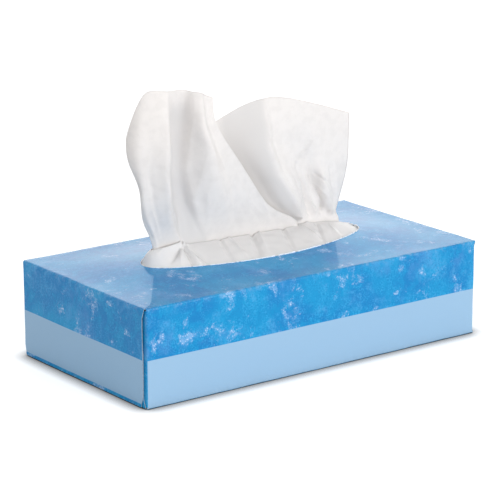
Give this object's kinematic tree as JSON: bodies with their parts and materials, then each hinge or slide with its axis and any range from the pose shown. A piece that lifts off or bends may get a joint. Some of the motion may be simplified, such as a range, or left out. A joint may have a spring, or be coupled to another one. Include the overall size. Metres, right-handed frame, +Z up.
{
  "type": "tissue box",
  "caption": "Flat oblong carton of facial tissues with an oval slit opening in its top and a sheet standing out of it.",
  "frame": {"origin": "middle of the carton's base, on the surface that it stands on", "axes": "+X along the box's long side, +Y across it, away from the picture's camera, +Z up"},
  "size_m": [0.23, 0.12, 0.1588],
  "materials": {
    "printed_board": "glossy varnish over a mottled blue print, bare grey-white inside",
    "clear_film": "thin clear plastic film with soft creases",
    "tissue_paper": "soft matt creped paper"
  },
  "bodies": {
    "root": {"carton": "printed_board", "film_window": "clear_film", "tissue_stack": "tissue_paper", "popup_tissue": "tissue_paper"}
  },
  "joints": []
}
